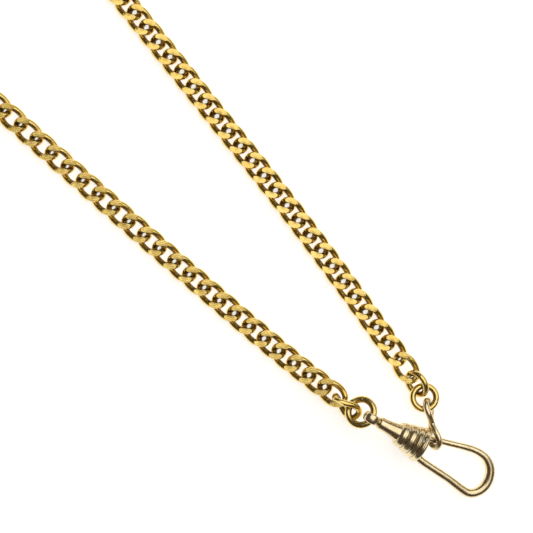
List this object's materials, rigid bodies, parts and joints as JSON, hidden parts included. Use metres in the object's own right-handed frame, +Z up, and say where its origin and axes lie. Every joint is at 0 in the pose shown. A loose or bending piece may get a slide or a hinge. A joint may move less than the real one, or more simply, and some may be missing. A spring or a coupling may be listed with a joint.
{
  "type": "pocket watch chain",
  "caption": "Filed curb-link watch chain joined into a loop by jump rings, a figure-eight link and a ribbed swivel clip with a sprung gate.",
  "frame": {"origin": "centre of the bounding box in plan, at the level of the table it lies on", "axes": "+X along the pair of strands towards the hook, +Y to the left of that, +Z up from the table"},
  "size_m": [0.1614, 0.0422, 0.0078],
  "materials": {
    "chain_gold": "polished gold plate",
    "clip_gold": "polished pale gold plate",
    "spring_steel": "plain"
  },
  "bodies": {
    "clip": {"clip_barrel": "clip_gold", "hook_wire": "clip_gold", "gate_pin": "spring_steel", "gate_spring": "spring_steel"},
    "gate": {"gate_arm": "clip_gold"},
    "swivel": {"swivel_eye": "clip_gold"},
    "eye_ring": {"eye_jump_ring": "chain_gold"},
    "figure_eight": {"figure_eight_link": "clip_gold"},
    "end_ring_b": {"end_ring_b": "chain_gold"},
    "end_ring_a": {"end_ring_a": "chain_gold"},
    "left_link_01": {"left_link_01": "chain_gold"},
    "left_link_02": {"left_link_02": "chain_gold"},
    "left_link_03": {"left_link_03": "chain_gold"},
    "left_link_04": {"left_link_04": "chain_gold"},
    "left_link_05": {"left_link_05": "chain_gold"},
    "left_link_06": {"left_link_06": "chain_gold"},
    "left_link_07": {"left_link_07": "chain_gold"},
    "left_link_08": {"left_link_08": "chain_gold"},
    "left_link_09": {"left_link_09": "chain_gold"},
    "left_link_10": {"left_link_10": "chain_gold"},
    "left_link_11": {"left_link_11": "chain_gold"},
    "left_link_12": {"left_link_12": "chain_gold"},
    "left_link_13": {"left_link_13": "chain_gold"},
    "left_link_14": {"left_link_14": "chain_gold"},
    "left_link_15": {"left_link_15": "chain_gold"},
    "left_link_16": {"left_link_16": "chain_gold"},
    "left_link_17": {"left_link_17": "chain_gold"},
    "left_link_18": {"left_link_18": "chain_gold"},
    "left_link_19": {"left_link_19": "chain_gold"},
    "left_link_20": {"left_link_20": "chain_gold"},
    "left_link_21": {"left_link_21": "chain_gold"},
    "left_link_22": {"left_link_22": "chain_gold"},
    "left_link_23": {"left_link_23": "chain_gold"},
    "left_link_24": {"left_link_24": "chain_gold"},
    "left_bend": {"left_bend": "chain_gold"},
    "right_link_01": {"right_link_01": "chain_gold"},
    "right_link_02": {"right_link_02": "chain_gold"},
    "right_link_03": {"right_link_03": "chain_gold"},
    "right_link_04": {"right_link_04": "chain_gold"},
    "right_link_05": {"right_link_05": "chain_gold"},
    "right_link_06": {"right_link_06": "chain_gold"},
    "right_link_07": {"right_link_07": "chain_gold"},
    "right_link_08": {"right_link_08": "chain_gold"},
    "right_link_09": {"right_link_09": "chain_gold"},
    "right_link_10": {"right_link_10": "chain_gold"},
    "right_link_11": {"right_link_11": "chain_gold"},
    "right_link_12": {"right_link_12": "chain_gold"},
    "right_link_13": {"right_link_13": "chain_gold"},
    "right_link_14": {"right_link_14": "chain_gold"},
    "right_link_15": {"right_link_15": "chain_gold"},
    "right_link_16": {"right_link_16": "chain_gold"},
    "right_link_17": {"right_link_17": "chain_gold"},
    "right_link_18": {"right_link_18": "chain_gold"},
    "right_link_19": {"right_link_19": "chain_gold"},
    "right_link_20": {"right_link_20": "chain_gold"},
    "right_link_21": {"right_link_21": "chain_gold"},
    "right_link_22": {"right_link_22": "chain_gold"},
    "right_link_23": {"right_link_23": "chain_gold"},
    "right_run": {"right_run": "chain_gold"},
    "right_bend": {"right_bend": "chain_gold"}
  },
  "joints": [
    {"name": "gate_hinge", "type": "hinge", "parent": "clip", "child": "gate", "pos_m": [0.06211, -0.00081, 0.00417], "axis": [-0.1601, -0.0496, -0.9859], "range_deg": [0, 14], "stiffness_Nm_per_rad": 0.008, "springref_deg": -28.65},
    {"name": "swivel_turn", "type": "hinge", "parent": "clip", "child": "swivel", "pos_m": [0.05396, -0.00482, 0.00569], "axis": [0.9418, 0.2915, -0.1676], "continuous": true},
    {"name": "eye_ring_hinge", "type": "hinge", "parent": "swivel", "child": "eye_ring", "pos_m": [0.0523, -0.00534, 0.00599], "axis": [-0.2957, 0.9553, 0], "range_deg": [-35, 35]},
    {"name": "figure_eight_hinge", "type": "hinge", "parent": "gate", "child": "figure_eight", "pos_m": [0.06465, 0.00089, 0.00367], "axis": [0.8206, 0.5484, -0.1609], "range_deg": [-20, 20]},
    {"name": "end_ring_b_hinge", "type": "hinge", "parent": "figure_eight", "child": "end_ring_b", "pos_m": [0.05862, 0.00499, 0.00301], "axis": [-0.476, -0.8794, 0], "range_deg": [-20, 16]},
    {"name": "end_ring_a_hinge", "type": "hinge", "parent": "end_ring_b", "child": "end_ring_a", "pos_m": [0.05554, 0.00593, 0.00289], "axis": [0.2451, 0.9695, 0], "range_deg": [-20, 20]},
    {"name": "left_link_01_hinge", "type": "hinge", "parent": "eye_ring", "child": "left_link_01", "pos_m": [0.04852, -0.00684, 0.00432], "axis": [-0.0927, 0.9957, 0], "range_deg": [-17, 17]},
    {"name": "left_link_02_hinge", "type": "hinge", "parent": "left_link_01", "child": "left_link_02", "pos_m": [0.04514, -0.00766, 0.00338], "axis": [0.1688, -0.9857, 0], "range_deg": [-18, 18]},
    {"name": "left_link_03_hinge", "type": "hinge", "parent": "left_link_02", "child": "left_link_03", "pos_m": [0.04123, -0.0081, 0.00261], "axis": [-0.1635, 0.9865, 0], "range_deg": [-17, 17]},
    {"name": "left_link_04_hinge", "type": "hinge", "parent": "left_link_03", "child": "left_link_04", "pos_m": [0.03728, -0.00875, 0.00203], "axis": [0.1455, -0.9894, 0], "range_deg": [-18, 18]},
    {"name": "left_link_05_hinge", "type": "hinge", "parent": "left_link_04", "child": "left_link_05", "pos_m": [0.0333, -0.00933, 0.00161], "axis": [-0.1279, 0.9918, 0], "range_deg": [-18, 18]},
    {"name": "left_link_06_hinge", "type": "hinge", "parent": "left_link_05", "child": "left_link_06", "pos_m": [0.02929, -0.00985, 0.00134], "axis": [0.1171, -0.9931, 0], "range_deg": [-18, 18]},
    {"name": "left_link_07_hinge", "type": "hinge", "parent": "left_link_06", "child": "left_link_07", "pos_m": [0.02525, -0.01033, 0.00122], "axis": [-0.111, 0.9938, 0], "range_deg": [-18, 18]},
    {"name": "left_link_08_hinge", "type": "hinge", "parent": "left_link_07", "child": "left_link_08", "pos_m": [0.02119, -0.01078, 0.00118], "axis": [0.1069, -0.9943, 0], "range_deg": [-18, 18]},
    {"name": "left_link_09_hinge", "type": "hinge", "parent": "left_link_08", "child": "left_link_09", "pos_m": [0.0171, -0.01122, 0.00118], "axis": [-0.104, 0.9946, 0], "range_deg": [-18, 18]},
    {"name": "left_link_10_hinge", "type": "hinge", "parent": "left_link_09", "child": "left_link_10", "pos_m": [0.01299, -0.01165, 0.00118], "axis": [0.1019, -0.9948, 0], "range_deg": [-18, 18]},
    {"name": "left_link_11_hinge", "type": "hinge", "parent": "left_link_10", "child": "left_link_11", "pos_m": [0.00886, -0.01207, 0.00118], "axis": [-0.0997, 0.995, 0], "range_deg": [-18, 18]},
    {"name": "left_link_12_hinge", "type": "hinge", "parent": "left_link_11", "child": "left_link_12", "pos_m": [0.00471, -0.01249, 0.00118], "axis": [0.0965, -0.9953, 0], "range_deg": [-18, 18]},
    {"name": "left_link_13_hinge", "type": "hinge", "parent": "left_link_12", "child": "left_link_13", "pos_m": [0.00053, -0.0129, 0.00118], "axis": [-0.0934, 0.9956, 0], "range_deg": [-18, 18]},
    {"name": "left_link_14_hinge", "type": "hinge", "parent": "left_link_13", "child": "left_link_14", "pos_m": [-0.00367, -0.01329, 0.00118], "axis": [0.091, -0.9958, 0], "range_deg": [-18, 18]},
    {"name": "left_link_15_hinge", "type": "hinge", "parent": "left_link_14", "child": "left_link_15", "pos_m": [-0.00789, -0.01368, 0.00118], "axis": [-0.0895, 0.996, 0], "range_deg": [-18, 18]},
    {"name": "left_link_16_hinge", "type": "hinge", "parent": "left_link_15", "child": "left_link_16", "pos_m": [-0.01213, -0.01406, 0.00118], "axis": [0.0886, -0.9961, 0], "range_deg": [-18, 18]},
    {"name": "left_link_17_hinge", "type": "hinge", "parent": "left_link_16", "child": "left_link_17", "pos_m": [-0.0164, -0.01444, 0.00118], "axis": [-0.0884, 0.9961, 0], "range_deg": [-18, 18]},
    {"name": "left_link_18_hinge", "type": "hinge", "parent": "left_link_17", "child": "left_link_18", "pos_m": [-0.02069, -0.01482, 0.00118], "axis": [0.088, -0.9961, 0], "range_deg": [-18, 18]},
    {"name": "left_link_19_hinge", "type": "hinge", "parent": "left_link_18", "child": "left_link_19", "pos_m": [-0.025, -0.0152, 0.00118], "axis": [-0.0872, 0.9962, 0], "range_deg": [-18, 18]},
    {"name": "left_link_20_hinge", "type": "hinge", "parent": "left_link_19", "child": "left_link_20", "pos_m": [-0.02933, -0.01558, 0.00118], "axis": [0.0862, -0.9963, 0], "range_deg": [-18, 18]},
    {"name": "left_link_21_hinge", "type": "hinge", "parent": "left_link_20", "child": "left_link_21", "pos_m": [-0.03368, -0.01595, 0.00118], "axis": [-0.0848, 0.9964, 0], "range_deg": [-18, 18]},
    {"name": "left_link_22_hinge", "type": "hinge", "parent": "left_link_21", "child": "left_link_22", "pos_m": [-0.03806, -0.01633, 0.00118], "axis": [0.0828, -0.9966, 0], "range_deg": [-18, 18]},
    {"name": "left_link_23_hinge", "type": "hinge", "parent": "left_link_22", "child": "left_link_23", "pos_m": [-0.04245, -0.01669, 0.00118], "axis": [-0.0859, 0.9963, 0], "range_deg": [-18, 18]},
    {"name": "left_link_24_hinge", "type": "hinge", "parent": "left_link_23", "child": "left_link_24", "pos_m": [-0.04687, -0.01707, 0.00118], "axis": [0.1076, -0.9942, 0], "range_deg": [-18, 18]},
    {"name": "left_bend_hinge", "type": "hinge", "parent": "left_link_24", "child": "left_bend", "pos_m": [-0.05128, -0.01755, 0.00118], "axis": [-0.1239, 0.9923, 0], "range_deg": [-18, 18]},
    {"name": "right_link_01_hinge", "type": "hinge", "parent": "end_ring_a", "child": "right_link_01", "pos_m": [0.05201, 0.00666, 0.00242], "axis": [-0.1743, -0.9847, 0], "range_deg": [-18, 18]},
    {"name": "right_link_02_hinge", "type": "hinge", "parent": "right_link_01", "child": "right_link_02", "pos_m": [0.0479, 0.00731, 0.00175], "axis": [0.1418, 0.9899, 0], "range_deg": [-18, 18]},
    {"name": "right_link_03_hinge", "type": "hinge", "parent": "right_link_02", "child": "right_link_03", "pos_m": [0.04376, 0.0079, 0.00133], "axis": [-0.1422, -0.9898, 0], "range_deg": [-17, 17]},
    {"name": "right_link_04_hinge", "type": "hinge", "parent": "right_link_03", "child": "right_link_04", "pos_m": [0.03984, 0.00846, 0.00121], "axis": [0.1394, 0.9902, 0], "range_deg": [-17, 17]},
    {"name": "right_link_05_hinge", "type": "hinge", "parent": "right_link_04", "child": "right_link_05", "pos_m": [0.03591, 0.00902, 0.00118], "axis": [-0.134, -0.991, 0], "range_deg": [-18, 18]},
    {"name": "right_link_06_hinge", "type": "hinge", "parent": "right_link_05", "child": "right_link_06", "pos_m": [0.03197, 0.00955, 0.00118], "axis": [0.1284, 0.9917, 0], "range_deg": [-18, 18]},
    {"name": "right_link_07_hinge", "type": "hinge", "parent": "right_link_06", "child": "right_link_07", "pos_m": [0.02804, 0.01006, 0.00118], "axis": [-0.1248, -0.9922, 0], "range_deg": [-18, 18]},
    {"name": "right_link_08_hinge", "type": "hinge", "parent": "right_link_07", "child": "right_link_08", "pos_m": [0.0241, 0.01055, 0.00118], "axis": [0.122, 0.9925, 0], "range_deg": [-18, 18]},
    {"name": "right_link_09_hinge", "type": "hinge", "parent": "right_link_08", "child": "right_link_09", "pos_m": [0.02016, 0.01104, 0.00118], "axis": [-0.1185, -0.993, 0], "range_deg": [-18, 18]},
    {"name": "right_link_10_hinge", "type": "hinge", "parent": "right_link_09", "child": "right_link_10", "pos_m": [0.01622, 0.01151, 0.00118], "axis": [0.1142, 0.9935, 0], "range_deg": [-18, 18]},
    {"name": "right_link_11_hinge", "type": "hinge", "parent": "right_link_10", "child": "right_link_11", "pos_m": [0.01227, 0.01196, 0.00118], "axis": [-0.1088, -0.9941, 0], "range_deg": [-18, 18]},
    {"name": "right_link_12_hinge", "type": "hinge", "parent": "right_link_11", "child": "right_link_12", "pos_m": [0.00833, 0.01239, 0.00118], "axis": [0.1021, 0.9948, 0], "range_deg": [-18, 18]},
    {"name": "right_link_13_hinge", "type": "hinge", "parent": "right_link_12", "child": "right_link_13", "pos_m": [0.00438, 0.0128, 0.00118], "axis": [-0.0945, -0.9955, 0], "range_deg": [-18, 18]},
    {"name": "right_link_14_hinge", "type": "hinge", "parent": "right_link_13", "child": "right_link_14", "pos_m": [0.00043, 0.01317, 0.00118], "axis": [0.0883, 0.9961, 0], "range_deg": [-18, 18]},
    {"name": "right_link_15_hinge", "type": "hinge", "parent": "right_link_14", "child": "right_link_15", "pos_m": [-0.00352, 0.01352, 0.00118], "axis": [-0.0844, -0.9964, 0], "range_deg": [-18, 18]},
    {"name": "right_link_16_hinge", "type": "hinge", "parent": "right_link_15", "child": "right_link_16", "pos_m": [-0.00748, 0.01386, 0.00118], "axis": [0.083, 0.9966, 0], "range_deg": [-18, 18]},
    {"name": "right_link_17_hinge", "type": "hinge", "parent": "right_link_16", "child": "right_link_17", "pos_m": [-0.01143, 0.01419, 0.00118], "axis": [-0.0838, -0.9965, 0], "range_deg": [-18, 18]},
    {"name": "right_link_18_hinge", "type": "hinge", "parent": "right_link_17", "child": "right_link_18", "pos_m": [-0.01539, 0.01452, 0.00118], "axis": [0.0859, 0.9963, 0], "range_deg": [-18, 18]},
    {"name": "right_link_19_hinge", "type": "hinge", "parent": "right_link_18", "child": "right_link_19", "pos_m": [-0.01934, 0.01486, 0.00118], "axis": [-0.0875, -0.9962, 0], "range_deg": [-18, 18]},
    {"name": "right_link_20_hinge", "type": "hinge", "parent": "right_link_19", "child": "right_link_20", "pos_m": [-0.0233, 0.01521, 0.00118], "axis": [0.0879, 0.9961, 0], "range_deg": [-18, 18]},
    {"name": "right_link_21_hinge", "type": "hinge", "parent": "right_link_20", "child": "right_link_21", "pos_m": [-0.02725, 0.01556, 0.00118], "axis": [-0.0876, -0.9962, 0], "range_deg": [-18, 18]},
    {"name": "right_link_22_hinge", "type": "hinge", "parent": "right_link_21", "child": "right_link_22", "pos_m": [-0.0312, 0.0159, 0.00118], "axis": [0.0866, 0.9962, 0], "range_deg": [-18, 18]},
    {"name": "right_link_23_hinge", "type": "hinge", "parent": "right_link_22", "child": "right_link_23", "pos_m": [-0.03516, 0.01625, 0.00118], "axis": [-0.0847, -0.9964, 0], "range_deg": [-18, 18]},
    {"name": "right_run_hinge", "type": "hinge", "parent": "right_link_23", "child": "right_run", "pos_m": [-0.03911, 0.01658, 0.00118], "axis": [0.0815, 0.9967, 0], "range_deg": [-18, 18]},
    {"name": "right_bend_hinge", "type": "hinge", "parent": "right_run", "child": "right_bend", "pos_m": [-0.05107, 0.01767, 0.00118], "axis": [-0.1164, -0.9932, 0], "range_deg": [-18, 18]}
  ]
}
